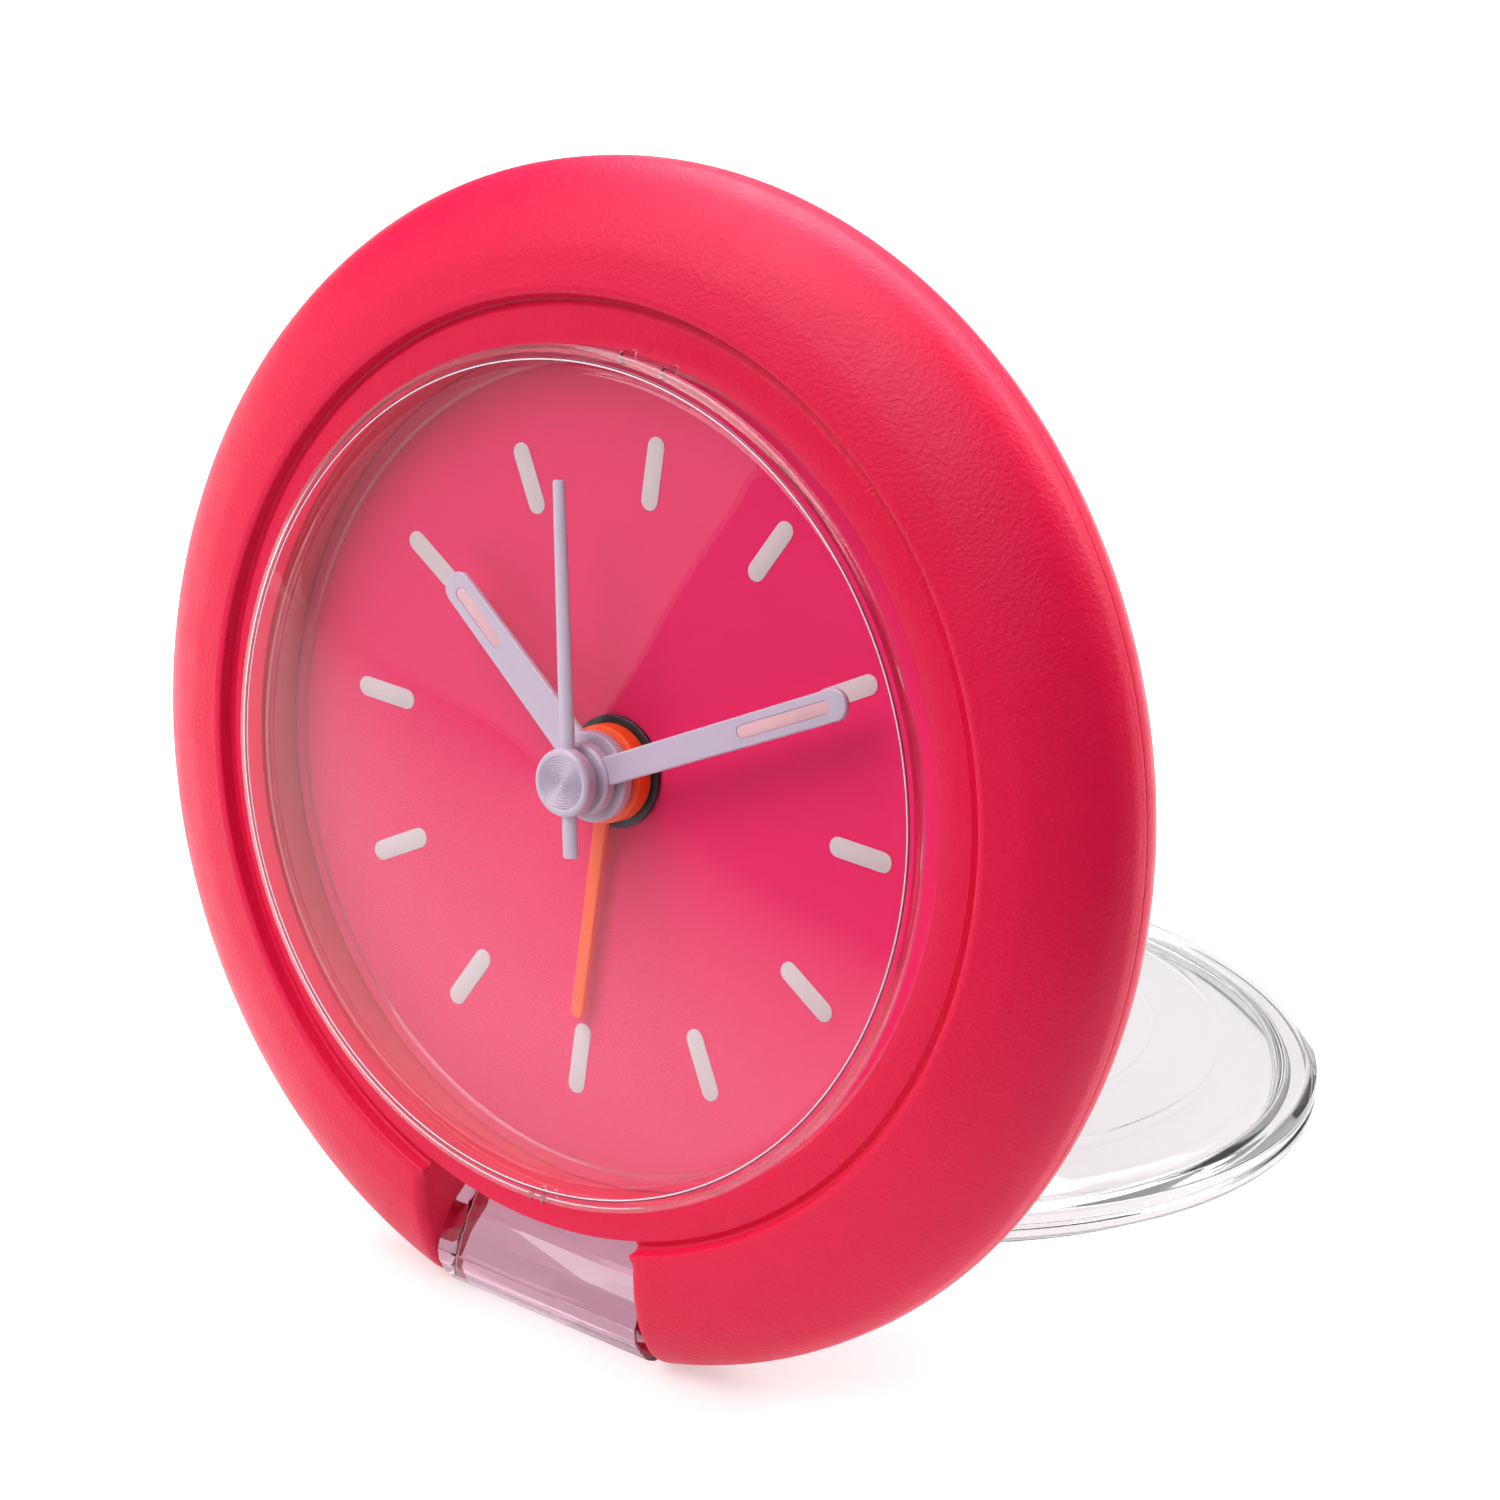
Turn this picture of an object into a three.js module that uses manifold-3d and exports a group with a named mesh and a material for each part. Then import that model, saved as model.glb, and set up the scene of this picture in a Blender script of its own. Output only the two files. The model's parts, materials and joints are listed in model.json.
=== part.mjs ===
// Travel alarm clock: a round ring case that leans back on its own flip-over clear lid.
//
// Units are millimetres, +Z is up and the origin is on the table, under the middle of the clock.
// Every piece is drawn in the face frame and one group stands the face up and leans it back:
//   x  to the right along the dial, y  up the dial towards 12, z  out of the dial to the viewer.
// The lid is drawn shut, inside a group that turns it about the hinge to where it props the clock.
import * as THREE from "three";
import { mergeVertices } from "three/addons/utils/BufferGeometryUtils.js";
import Module from "manifold-3d";

const wasm = await Module();
wasm.setup();

// ---- driving dimensions -------------------------------------------------------------------

const radians = THREE.MathUtils.degToRad;
const LEAN = radians(12.8); // how far the face leans back
const LID_TURN = radians(275.5); // lid turn from shut to the propping stop

const ROUND = 40; // facets of the large turned pieces
const FIT = 0.25; // gap between fixed pieces
const RUN = 0.1; // gap around a turning pipe or arbor

const RING_R = 40; // outside of the ring
const RECESS_N = 3.05; // floor around the crystal, where the shut lid sits
const RECESS_R = 31.25; // edge of that floor
const COLLAR_R = 30.65; // outside of the collar that carries the crystal
const BORE_R = 28.2; // inside of the collar
const PARTING_N = -2.2; // joint between front ring and rear case
const FLANGE_N = -5.8; // back of the rear case's flange
const DRUM_N = -18.3; // back of the rear case's drum
const DIAL_N = -0.4; // face of the dial

const HINGE_Y = -35.2; // lid hinge axis
const HINGE_Z = -1.3;
const NOTCH_HALF = 9; // half width of the hinge notch in the ring
const CHEEK = 1.6; // thickness of the notch's side walls
const PEG_R = 1.1; // hinge pegs on those walls
const PEG_LENGTH = 1.8;

const LID_R = 31.7; // outside of the lid's rim
const LID_INNER_R = 29.3;
const LID_SEAT_N = 4.0; // underside of the rim's flange when shut
const LID_LIP_N = 3.3; // underside of its locating lip
const LID_EDGE_N = 6.3; // top of the rim
const LID_TOP_N = 8.6; // top of the dome
const LID_WALL = 1.3; // thickness of the dome

// Going train, motion work and alarm work: tooth counts and modules.
const FINE = 0.18;
const GOING = 0.24;
const MOTION = 0.36;
const TEETH = {
  rotor: 6,
  intermediate: 36,
  intermediatePinion: 6,
  second: 30,
  secondPinion: 6,
  third: 45,
  thirdPinion: 6,
  centre: 48,
  cannon: 10,
  motion: 30,
  motionPinion: 8,
  hour: 32,
  alarm: 36,
  alarmPinion: 12,
};
const THIRD_DISTANCE = (GOING * (TEETH.secondPinion + TEETH.third)) / 2;
const CENTRE_MODULE = (2 * THIRD_DISTANCE) / (TEETH.thirdPinion + TEETH.centre);

// Where the arbors stand on the face: distance from the dial centre and direction.
const polar = (distance, degrees) => {
  const angle = radians(degrees);
  return [distance * Math.cos(angle), distance * Math.sin(angle)];
};
const INTERMEDIATE_AT = polar((GOING * (TEETH.intermediatePinion + TEETH.second)) / 2, -90);
const ROTOR_AT = polar(
  Math.hypot(...INTERMEDIATE_AT) + (FINE * (TEETH.rotor + TEETH.intermediate)) / 2,
  -90
);
const THIRD_AT = polar(THIRD_DISTANCE, 90);
const MOTION_ANGLE = 210;
const ALARM_ANGLE = -30;
const MOTION_AT = polar((MOTION * (TEETH.cannon + TEETH.motion)) / 2, MOTION_ANGLE);
const ALARM_AT = polar((MOTION * (TEETH.alarm + TEETH.alarmPinion)) / 2, ALARM_ANGLE);

const SCREW_R = 34;
const SCREW_ANGLES = [50, 130, 230, 310];
const BATTERY_AT = [-7, 9.6];
const BATTERY_R = 5.8;
const DOOR_R = 7;
const PIEZO_AT = [8.5, 10.5];
const COIL_AT = [-13.9, -11.5]; // y and z of the coil's axis
const SWITCH_Y = -13.3;
const SWITCH_TRAVEL = 2.5;

// Each hand: clockwise angle from 12, reach, half width, and the heights of its bar and hub.
const HANDS = {
  second: { degrees: 350, tip: 19.6, half: 0.55, bar: [4.1, 4.6], tail: 5 },
  minute: { degrees: 61.9, tip: 22.5, half: 1.1, bar: [2.85, 3.35], hub: [2.7, 3.55], hubR: 2.6, boreR: 1.27 },
  hour: { degrees: 305.5, tip: 17.2, half: 1.15, bar: [1.85, 2.35], hub: [1.65, 2.45], hubR: 3, boreR: 1.97 },
  alarm: { degrees: 180, tip: 17, half: 0.8, bar: [0.25, 0.65], hub: [0.05, 1.4], hubR: 3.25, boreR: 2.57 },
};
// Where the luminous inlays lie along the minute and hour hands, and how they sit in them.
const LUME = { minute: [14.6, 21.7], hour: [10, 16.4] };
const LUME_HALF = 0.5;
const LUME_DEPTH = 0.3;
const LUME_GAP = 0.08;

const MARKER_HALF = 0.675;
const MARKER_SPAN = [17.6, 22.5];

const MOVEMENT_R = 19.6;
const ARBOR_BACK = -13.9; // back ends of the going train's arbors

// ---- solids -------------------------------------------------------------------------------

function toSolid(geometry) {
  const bare = geometry.clone();
  bare.deleteAttribute("normal");
  bare.deleteAttribute("uv");
  const merged = mergeVertices(bare, 1e-5);
  return new wasm.Manifold(
    new wasm.Mesh({
      numProp: 3,
      vertProperties: new Float32Array(merged.attributes.position.array),
      triVerts: new Uint32Array(merged.index.array),
    })
  );
}

function toGeometry(solid) {
  const { vertProperties, triVerts } = solid.getMesh();
  const geometry = new THREE.BufferGeometry();
  geometry.setAttribute("position", new THREE.BufferAttribute(new Float32Array(vertProperties), 3));
  geometry.setIndex(new THREE.BufferAttribute(new Uint32Array(triVerts), 1));
  geometry.computeVertexNormals();
  return geometry;
}

const join = (...solids) => solids.reduce((sum, solid) => sum.add(solid));
const cut = (solid, ...tools) => tools.reduce((rest, tool) => rest.subtract(tool), solid);

// A profile of [radius, z] points turned about the dial's axis, or about an axis at `at`.
// The profile has to run anticlockwise for the faces to point out, so one that doesn't is reversed.
function turned(profile, segments = ROUND, at = [0, 0]) {
  const points = profile.map(([r, z]) => new THREE.Vector2(r, z));
  if (THREE.ShapeUtils.area(points) < 0) {
    points.reverse();
  }
  const geometry = new THREE.LatheGeometry(points, segments);
  geometry.rotateX(Math.PI / 2);
  geometry.translate(at[0], at[1], 0);
  return toSolid(geometry);
}

// A ring profile has to close on itself; a disc profile starts and ends on the axis.
const closed = (profile) => [...profile, profile[0]];

function cylinder(radius, z0, z1, at = [0, 0], segments = 24) {
  const geometry = new THREE.CylinderGeometry(radius, radius, z1 - z0, segments);
  geometry.rotateX(Math.PI / 2);
  geometry.translate(at[0], at[1], (z0 + z1) / 2);
  return toSolid(geometry);
}

// A cylinder along x, at a given y and z.
function crossCylinder(radius, x0, x1, y, z, segments = 24) {
  const geometry = new THREE.CylinderGeometry(radius, radius, x1 - x0, segments);
  geometry.rotateZ(-Math.PI / 2);
  geometry.translate((x0 + x1) / 2, y, z);
  return toSolid(geometry);
}

function box(x0, x1, y0, y1, z0, z1) {
  const geometry = new THREE.BoxGeometry(x1 - x0, y1 - y0, z1 - z0);
  geometry.translate((x0 + x1) / 2, (y0 + y1) / 2, (z0 + z1) / 2);
  return toSolid(geometry);
}

// A shape on the face, extruded from z0 to z1.
function plate(shape, z0, z1, curveSegments = 8) {
  const settings = { depth: z1 - z0, bevelEnabled: false, curveSegments };
  const geometry = new THREE.ExtrudeGeometry(shape, settings);
  geometry.translate(0, 0, z0);
  return toSolid(geometry);
}

// A side section of [y, z] points, extruded along x from -half to half.
function section(points, half) {
  const shape = new THREE.Shape(points.map(([y, z]) => new THREE.Vector2(y, z)));
  const geometry = new THREE.ExtrudeGeometry(shape, { depth: 2 * half, bevelEnabled: false });
  geometry.translate(0, 0, -half);
  geometry.applyMatrix4(new THREE.Matrix4().set(0, 0, 1, 0, 1, 0, 0, 0, 0, 1, 0, 0, 0, 0, 0, 1));
  return toSolid(geometry);
}

// A toothed disc. `phase` is the direction of one tooth.
function gear(teeth, module, z0, z1, phase = 0, at = [0, 0]) {
  const tip = module * (teeth / 2 + 0.8);
  const root = module * (teeth / 2 - 1.1);
  const pitch = (2 * Math.PI) / teeth;
  const points = [];
  for (let i = 0; i < teeth; i += 1) {
    for (const [offset, radius] of [[0, tip], [0.5, root]]) {
      const angle = phase + (i + offset) * pitch;
      points.push(new THREE.Vector2(at[0] + radius * Math.cos(angle), at[1] + radius * Math.sin(angle)));
    }
  }
  return plate(new THREE.Shape(points), z0, z1);
}

// The phase that gives a gear a gap, not a tooth, towards its driver in direction `towards`.
const gapTowards = (towards, teeth) => towards + Math.PI / teeth;

// A bar along +y with a half-round tip.
function barShape(halfWidth, y0, y1) {
  const shape = new THREE.Shape();
  shape.moveTo(-halfWidth, y0);
  shape.lineTo(halfWidth, y0);
  shape.lineTo(halfWidth, y1 - halfWidth);
  shape.absarc(0, y1 - halfWidth, halfWidth, 0, Math.PI, false);
  shape.closePath();
  return shape;
}

// ---- the object ---------------------------------------------------------------------------

const clock = new THREE.Group();
const face = new THREE.Group();
face.rotation.x = Math.PI / 2 - LEAN;
clock.add(face);

const COLOURS = {
  pink: [0xe02a52, 0.62, 0],
  dialPink: [0xd83468, 0.5, 0],
  clear: [0xe6e3e8, 0.08, 0],
  lilac: [0xbfaebd, 0.4, 0],
  lume: [0xe9a7a4, 0.6, 0],
  orange: [0xf06a2c, 0.5, 0],
  black: [0x17141a, 0.5, 0],
  white: [0xe8e6e0, 0.55, 0],
  steel: [0xb9bcc0, 0.3, 1],
  brass: [0xc9a455, 0.35, 1],
  copper: [0xa85d31, 0.4, 1],
  green: [0x1f6b45, 0.6, 0],
};

function piece(name, solid, colour, parent = face) {
  const [color, roughness, metalness] = COLOURS[colour];
  const material = new THREE.MeshStandardMaterial({ color, roughness, metalness });
  const mesh = new THREE.Mesh(toGeometry(solid), material);
  mesh.name = name;
  parent.add(mesh);
  return mesh;
}

// Case ---------------------------------------------------------------------------------------

const BAND_KNOTS = [[31.7, 3.74], [35, 2.9], [37.2, 1.85], [39, 0.45], [39.85, -0.9], [RING_R, PARTING_N]];
const bandCurve = new THREE.SplineCurve(BAND_KNOTS.map(([r, z]) => new THREE.Vector2(r, z)));
const BAND = bandCurve.getPoints(7).map((point) => [point.x, point.y]);
const REAR_EDGE = [[39.85, -3.3], [39.2, -4.5], [38, -5.4], [36.3, FLANGE_N]];
const CHEEK_FOOT_Y = -30.9; // the cheeks reach up to here

// The hollow that the hinge block and the lid's arm move in.
function notch(halfWidth) {
  return cut(box(-halfWidth, halfWidth, -45, -20, -10, 10), cylinder(COLLAR_R, -11, 11, [0, 0], ROUND));
}

function frontRing() {
  const shell = turned(
    closed([
      [BORE_R, RECESS_N],
      [RECESS_R - 0.25, RECESS_N],
      [RECESS_R, RECESS_N + 0.35],
      ...BAND,
      [38.2, PARTING_N],
      [38.1, -1.2],
      [36.4, 0.3],
      [34, 1.3],
      [COLLAR_R, 1.6],
      [COLLAR_R, DIAL_N + FIT],
      [BORE_R, DIAL_N + FIT],
    ])
  );
  const filled = turned([[0, 1.6], [34, 1.3], [38.9, 0.2], [RING_R, PARTING_N], ...REAR_EDGE, [0, FLANGE_N]]);
  const cheekBox = (side) => {
    const [inner, outer] = [NOTCH_HALF, NOTCH_HALF + CHEEK].map((x) => side * x);
    return box(Math.min(inner, outer), Math.max(inner, outer), -45, CHEEK_FOOT_Y, -7, 2);
  };
  const parts = [cut(shell, notch(NOTCH_HALF))];
  for (const side of [-1, 1]) {
    parts.push(filled.intersect(cheekBox(side)));
    const ends = [side * (NOTCH_HALF - PEG_LENGTH), side * (NOTCH_HALF + 0.5)];
    parts.push(crossCylinder(PEG_R, Math.min(...ends), Math.max(...ends), HINGE_Y, HINGE_Z));
  }
  for (const angle of SCREW_ANGLES) {
    const at = polar(SCREW_R, angle);
    parts.push(cut(cylinder(2.1, -2, 1.8, at), cylinder(0.9, -3, 0.9, at, 12)));
  }
  return join(...parts);
}

function rearCase() {
  const shell = turned([
    [0, DRUM_N],
    [20.6, DRUM_N],
    [21.8, DRUM_N + 0.5],
    [22.6, DRUM_N + 1.7],
    [24, -7.4],
    [25.4, FLANGE_N],
    ...[...REAR_EDGE].reverse(),
    [RING_R, PARTING_N - 0.15],
    [38.4, PARTING_N - 0.15],
    [37.4, -3.9],
    [36, -4.4],
    [22.5, -4.4],
    [21.1, -16.2],
    [20.3, DRUM_N + 1.5],
    [0, DRUM_N + 1.5],
  ]);
  const bosses = SCREW_ANGLES.map((angle) => cylinder(2.6, -5.7, -2.2, polar(SCREW_R, angle)));
  const bay = box(-13.4, 13.4, -26.6, -25.3, FLANGE_N, -1.6);
  const doorSeat = cut(
    cylinder(DOOR_R + 0.9, DRUM_N + 0.3, DRUM_N + 2.6, BATTERY_AT, 28),
    cylinder(DOOR_R - 0.8, -20, -10, BATTERY_AT, 28)
  );
  const tools = [
    box(-NOTCH_HALF - CHEEK - 0.2, NOTCH_HALF + CHEEK + 0.2, -45, CHEEK_FOOT_Y + 0.3, -8, 0),
    box(-12.2, 12.2, CHEEK_FOOT_Y, -26.6, -8, 0),
    cylinder(DOOR_R, DRUM_N - 1, DRUM_N + 1.9, BATTERY_AT, 28),
    cylinder(DOOR_R - 0.8, DRUM_N - 1, DRUM_N + 3, BATTERY_AT, 28),
    cylinder(1.5, DRUM_N - 1, -10, MOTION_AT),
    cylinder(1.5, DRUM_N - 1, -10, ALARM_AT),
    box(-4.2, 4.2, SWITCH_Y - 0.8, SWITCH_Y + 0.8, DRUM_N - 1, -10),
  ];
  for (const angle of SCREW_ANGLES) {
    const at = polar(SCREW_R, angle);
    tools.push(cylinder(2, -7, -4.5, at));
    tools.push(cylinder(1.1, -7, -1, at, 16));
  }
  for (const [dx, dy] of [[0, 0], [2.2, 0], [-2.2, 0], [0, 2.2], [0, -2.2]]) {
    tools.push(cylinder(0.6, DRUM_N - 1, -14, [PIEZO_AT[0] + dx, PIEZO_AT[1] + dy], 10));
  }
  return cut(join(shell, ...bosses, bay, doorSeat), ...tools);
}

piece("front_ring", frontRing(), "pink");
piece("rear_case", rearCase(), "pink");

SCREW_ANGLES.forEach((angle, index) => {
  const at = polar(SCREW_R, angle);
  const head = cut(
    cylinder(1.8, -5.6, -4.6, at, 20),
    box(at[0] - 1.1, at[0] + 1.1, at[1] - 0.22, at[1] + 0.22, -6, -5.1),
    box(at[0] - 0.22, at[0] + 0.22, at[1] - 1.1, at[1] + 1.1, -6, -5.1)
  );
  piece(`case_screw_${index + 1}`, join(head, cylinder(0.8, -4.7, 0.5, at, 12)), "steel");
});

const crystal = turned([
  [0, 5.75],
  [14, 5.4],
  [24, 4.7],
  [26.6, 4.3],
  [26.95, 3.9],
  [26.95, DIAL_N + 0.3],
  [BORE_R - FIT, DIAL_N + 0.3],
  [BORE_R - FIT, RECESS_N + 0.15],
  [28.8, RECESS_N + 0.15],
  [28.7, 3.7],
  [28.3, 5],
  [27.8, 5.35],
  [24, 5.75],
  [14, 6.4],
  [0, 6.7],
]);
piece("crystal", crystal, "clear");

// Dial and hands -------------------------------------------------------------------------------

function markerShape(hour) {
  const [inner, outer] = MARKER_SPAN;
  const shape = new THREE.Shape();
  shape.absarc(0, outer - MARKER_HALF, MARKER_HALF, 0, Math.PI, false);
  shape.absarc(0, inner + MARKER_HALF, MARKER_HALF, Math.PI, 2 * Math.PI, false);
  shape.closePath();
  const turn = (-hour * Math.PI) / 6;
  const points = shape.getPoints(3).slice(0, -1);
  return new THREE.Shape(points.map((point) => point.rotateAround(new THREE.Vector2(), turn)));
}
const dialDisc = cylinder(29.7, DIAL_N - 0.9, DIAL_N, [0, 0], ROUND);
const markers = Array.from({ length: 12 }, (_, hour) => plate(markerShape(hour), DIAL_N - 0.1, DIAL_N + 0.1));
piece("dial", cut(join(dialDisc, ...markers), cylinder(2.8, -3, 2, [0, 0], 32)), "dialPink");

const ringDisc = (outer, inner, z0, z1, segments = 32) =>
  cut(cylinder(outer, z0, z1, [0, 0], segments), cylinder(inner, z0 - 1, z1 + 1, [0, 0], segments));
piece("dial_washer", ringDisc(3.75, 2.7, DIAL_N + 0.05, DIAL_N + 0.3), "black");

// A hand: a hub over its pipe, and a bar from the hub to the tip, with any slot for its inlay.
function hand(name) {
  const { tip, half, bar, hubR, boreR, hub } = HANDS[name];
  const body = join(cylinder(hubR, ...hub, [0, 0], 32), plate(barShape(half, 0, tip), ...bar));
  const tools = [cylinder(boreR, -3, 9)];
  if (LUME[name]) {
    tools.push(plate(barShape(LUME_HALF, ...LUME[name]), bar[1] - LUME_DEPTH, 9));
  }
  return cut(body, ...tools);
}

function inlay(name) {
  const [start, end] = LUME[name];
  const top = HANDS[name].bar[1] - LUME_GAP;
  const shape = barShape(LUME_HALF - LUME_GAP, start + LUME_GAP, end - LUME_GAP);
  return plate(shape, HANDS[name].bar[1] - LUME_DEPTH + 0.05, top);
}

const placeHand = (node, solid, colour, name) => {
  piece(node, solid, colour).rotation.z = -radians(HANDS[name].degrees);
};
placeHand("minute_hand", hand("minute"), "lilac", "minute");
placeHand("minute_hand_lume", inlay("minute"), "lume", "minute");
placeHand("hour_hand", hand("hour"), "lilac", "hour");
placeHand("hour_hand_lume", inlay("hour"), "lume", "hour");
placeHand("alarm_hand", hand("alarm"), "orange", "alarm");

const { half: secondHalf, tail, tip: secondTip, bar: secondBar } = HANDS.second;
const secondHand = cut(
  join(box(-secondHalf, secondHalf, -tail, secondTip, ...secondBar), cylinder(1.6, secondBar[0], 4.45)),
  cylinder(0.57, 3, 5, [0, 0], 16)
);
placeHand("second_hand", secondHand, "lilac", "second");
const cap = cut(
  turned([[0, 4.65], [2.1, 4.65], [2.25, 4.8], [2.25, 5.2], [2.0, 5.4], [0, 5.4]], 32),
  cylinder(0.6, 4, 5.05, [0, 0], 16)
);
placeHand("second_hand_cap", cap, "lilac", "second");

// Movement -------------------------------------------------------------------------------------

const movementFront = cut(
  cylinder(MOVEMENT_R, -14.2, -1.6, [0, 0], 40),
  cylinder(MOVEMENT_R - 1, -15, -2.6, [0, 0], 40),
  cylinder(2.65, -5, 0, [0, 0], 24)
);
piece("movement_front", movementFront, "white");

const holes = [
  [MOTION_AT, 1.35],
  [ALARM_AT, 1.35],
  [BATTERY_AT, BATTERY_R + 0.4],
];
const movementBack = cut(
  cylinder(MOVEMENT_R, -15.1, -14.4, [0, 0], 40),
  ...holes.map(([at, radius]) => cylinder(radius, -16, -14, at, 24)),
  box(-4.6, 4.6, SWITCH_Y - 1.2, SWITCH_Y + 1.2, -16, -14)
);
piece("movement_back", movementBack, "white");

// Wheels from the rotor to the pipe of the minute hand.
const SOUTH = -Math.PI / 2;
const NORTH = Math.PI / 2;
const magnet = cut(cylinder(1.6, -13.4, -12.2, ROTOR_AT, 20), cylinder(0.4, -14, -12, ROTOR_AT, 10));
piece("rotor_magnet", magnet, "steel");
const rotorPinion = join(
  gear(TEETH.rotor, FINE, -11.9, -10.9, gapTowards(NORTH, TEETH.rotor), ROTOR_AT),
  cylinder(0.3, ARBOR_BACK, -10.6, ROTOR_AT, 10)
);
piece("rotor_pinion", rotorPinion, "white");
const intermediatePhase = gapTowards(NORTH, TEETH.intermediatePinion);
const intermediate = join(
  gear(TEETH.intermediate, FINE, -11.7, -11.1, SOUTH, INTERMEDIATE_AT),
  gear(TEETH.intermediatePinion, GOING, -11.2, -9.6, intermediatePhase, INTERMEDIATE_AT),
  cylinder(0.35, ARBOR_BACK, -9.2, INTERMEDIATE_AT, 10)
);
piece("intermediate_wheel", intermediate, "white");
const secondWheel = join(
  gear(TEETH.second, GOING, -10.5, -9.8, SOUTH),
  gear(TEETH.secondPinion, GOING, -9.9, -8.3, NORTH),
  cylinder(0.5, ARBOR_BACK, 4.95, [0, 0], 12)
);
piece("second_wheel", secondWheel, "white");
const thirdWheel = join(
  gear(TEETH.third, GOING, -9, -8.4, gapTowards(SOUTH, TEETH.third), THIRD_AT),
  gear(TEETH.thirdPinion, CENTRE_MODULE, -8.5, -6.9, SOUTH, THIRD_AT),
  cylinder(0.45, ARBOR_BACK, -5.4, THIRD_AT, 10)
);
piece("third_wheel", thirdWheel, "white");
const centreWheel = cut(
  gear(TEETH.centre, CENTRE_MODULE, -7.7, -7, gapTowards(NORTH, TEETH.centre)),
  cylinder(1.2 + RUN, -8, -6, [0, 0], 16)
);
piece("centre_wheel", centreWheel, "brass");
const motionDirection = radians(MOTION_ANGLE);
const minutePinion = cut(
  join(cylinder(1.2, -8, 3.15, [0, 0], 16), gear(TEETH.cannon, MOTION, -6.4, -5.3, motionDirection)),
  cylinder(0.65, -9, 4, [0, 0], 12)
);
piece("minute_pinion", minutePinion, "brass");
const backToCentre = motionDirection + Math.PI;
const motionWheel = join(
  gear(TEETH.motion, MOTION, -6.1, -5.5, gapTowards(backToCentre, TEETH.motion), MOTION_AT),
  gear(TEETH.motionPinion, MOTION, -5.6, -4.1, backToCentre, MOTION_AT),
  cylinder(0.45, -18.5, -5.6, MOTION_AT, 10),
  cylinder(0.45, -4.2, -3, MOTION_AT, 10)
);
piece("motion_wheel", motionWheel, "white");
const hourWheel = cut(
  join(
    gear(TEETH.hour, MOTION, -5, -4.3, gapTowards(motionDirection, TEETH.hour)),
    cylinder(1.87, -5, 2.1, [0, 0], 20)
  ),
  cylinder(1.4, -6, 4, [0, 0], 16)
);
piece("hour_wheel", hourWheel, "white");
const alarmDirection = radians(ALARM_ANGLE);
const alarmWheel = cut(
  join(gear(TEETH.alarm, MOTION, -3.8, -3, alarmDirection), cylinder(2.48, -3.8, 1.1, [0, 0], 24)),
  cylinder(2.05, -5, 4, [0, 0], 20)
);
piece("alarm_wheel", alarmWheel, "white");

// A finger knob with a fluted rim, and a hole for its arbor.
function knob(at) {
  const points = [];
  const flutes = 18;
  for (let i = 0; i < flutes * 2; i += 1) {
    const radius = i % 2 === 0 ? 4.2 : 3.9;
    const angle = (i * Math.PI) / flutes;
    points.push(new THREE.Vector2(at[0] + radius * Math.cos(angle), at[1] + radius * Math.sin(angle)));
  }
  const grip = plate(new THREE.Shape(points), DRUM_N - 3.2, DRUM_N - 0.4);
  const stem = cylinder(1.2, DRUM_N - 0.5, -15.3, at, 16);
  return cut(join(grip, stem), cylinder(0.5, DRUM_N - 0.6, -10, at, 10));
}
piece("time_knob", knob(MOTION_AT), "black");
piece("alarm_knob", knob(ALARM_AT), "black");
const alarmPhase = gapTowards(alarmDirection + Math.PI, TEETH.alarmPinion);
const alarmPinion = join(
  gear(TEETH.alarmPinion, MOTION, -4, -2.9, alarmPhase, ALARM_AT),
  cylinder(0.45, -18.5, -2.8, ALARM_AT, 10)
);
piece("alarm_pinion", alarmPinion, "white");

// Stepping motor: the stator's two legs run from the rotor's hole to the coil's core.
const [coilY, coilZ] = COIL_AT;
const stator = cut(
  join(
    box(-9.4, 9.4, ROTOR_AT[1] - 3.2, ROTOR_AT[1] + 3.2, -13.1, -12.5),
    box(-9.4, -8, coilY - 1, ROTOR_AT[1], -13.1, -12.5),
    box(8, 9.4, coilY - 1, ROTOR_AT[1], -13.1, -12.5)
  ),
  cylinder(1.95, -14, -12, ROTOR_AT, 20),
  cylinder(0.6, -14, -12, INTERMEDIATE_AT, 10)
);
piece("stator", stator, "steel");
const core = join(
  crossCylinder(1, -7.9, 7.9, coilY, coilZ, 12),
  box(-9.4, -7.7, coilY - 1, coilY + 1, -12.2, -10.6),
  box(7.7, 9.4, coilY - 1, coilY + 1, -12.2, -10.6)
);
piece("coil_core", core, "steel");
const bobbin = cut(
  join(
    crossCylinder(1.45, -7, 7, coilY, coilZ, 16),
    crossCylinder(2.4, -7.3, -6.7, coilY, coilZ, 16),
    crossCylinder(2.4, 6.7, 7.3, coilY, coilZ, 16)
  ),
  crossCylinder(1.1, -9, 9, coilY, coilZ, 12)
);
piece("coil_bobbin", bobbin, "white");
const winding = cut(
  crossCylinder(2.2, -6.5, 6.5, coilY, coilZ, 20),
  crossCylinder(1.55, -9, 9, coilY, coilZ, 16)
);
piece("coil_winding", winding, "copper");

// Electronics and battery.
piece("circuit_board", box(1.8, 13.6, 3.6, 12, -13.1, -12.3), "green");
piece("quartz_can", crossCylinder(1, 3, 9, 10.4, -11.15, 16), "steel");
piece("driver_chip", box(9.8, 12.6, 5, 7.8, -12.15, -11.4), "black");
piece("piezo_disc", cylinder(5.6, -16.5, -16, PIEZO_AT, 32), "brass");
const cell = [
  [0, -15.9],
  [BATTERY_R - 0.3, -15.9],
  [BATTERY_R, -15.6],
  [BATTERY_R, -11.4],
  [4.6, -10.8],
  [0, -10.6],
];
piece("battery", turned(cell, 32, BATTERY_AT), "steel");
const [batteryX, batteryY] = BATTERY_AT;
const contactY = batteryY + BATTERY_R + 0.15;
const contactMinus = box(batteryX - 1.2, batteryX + 7, batteryY - 1.2, batteryY + 1.2, -10.4, -10.2);
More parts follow.
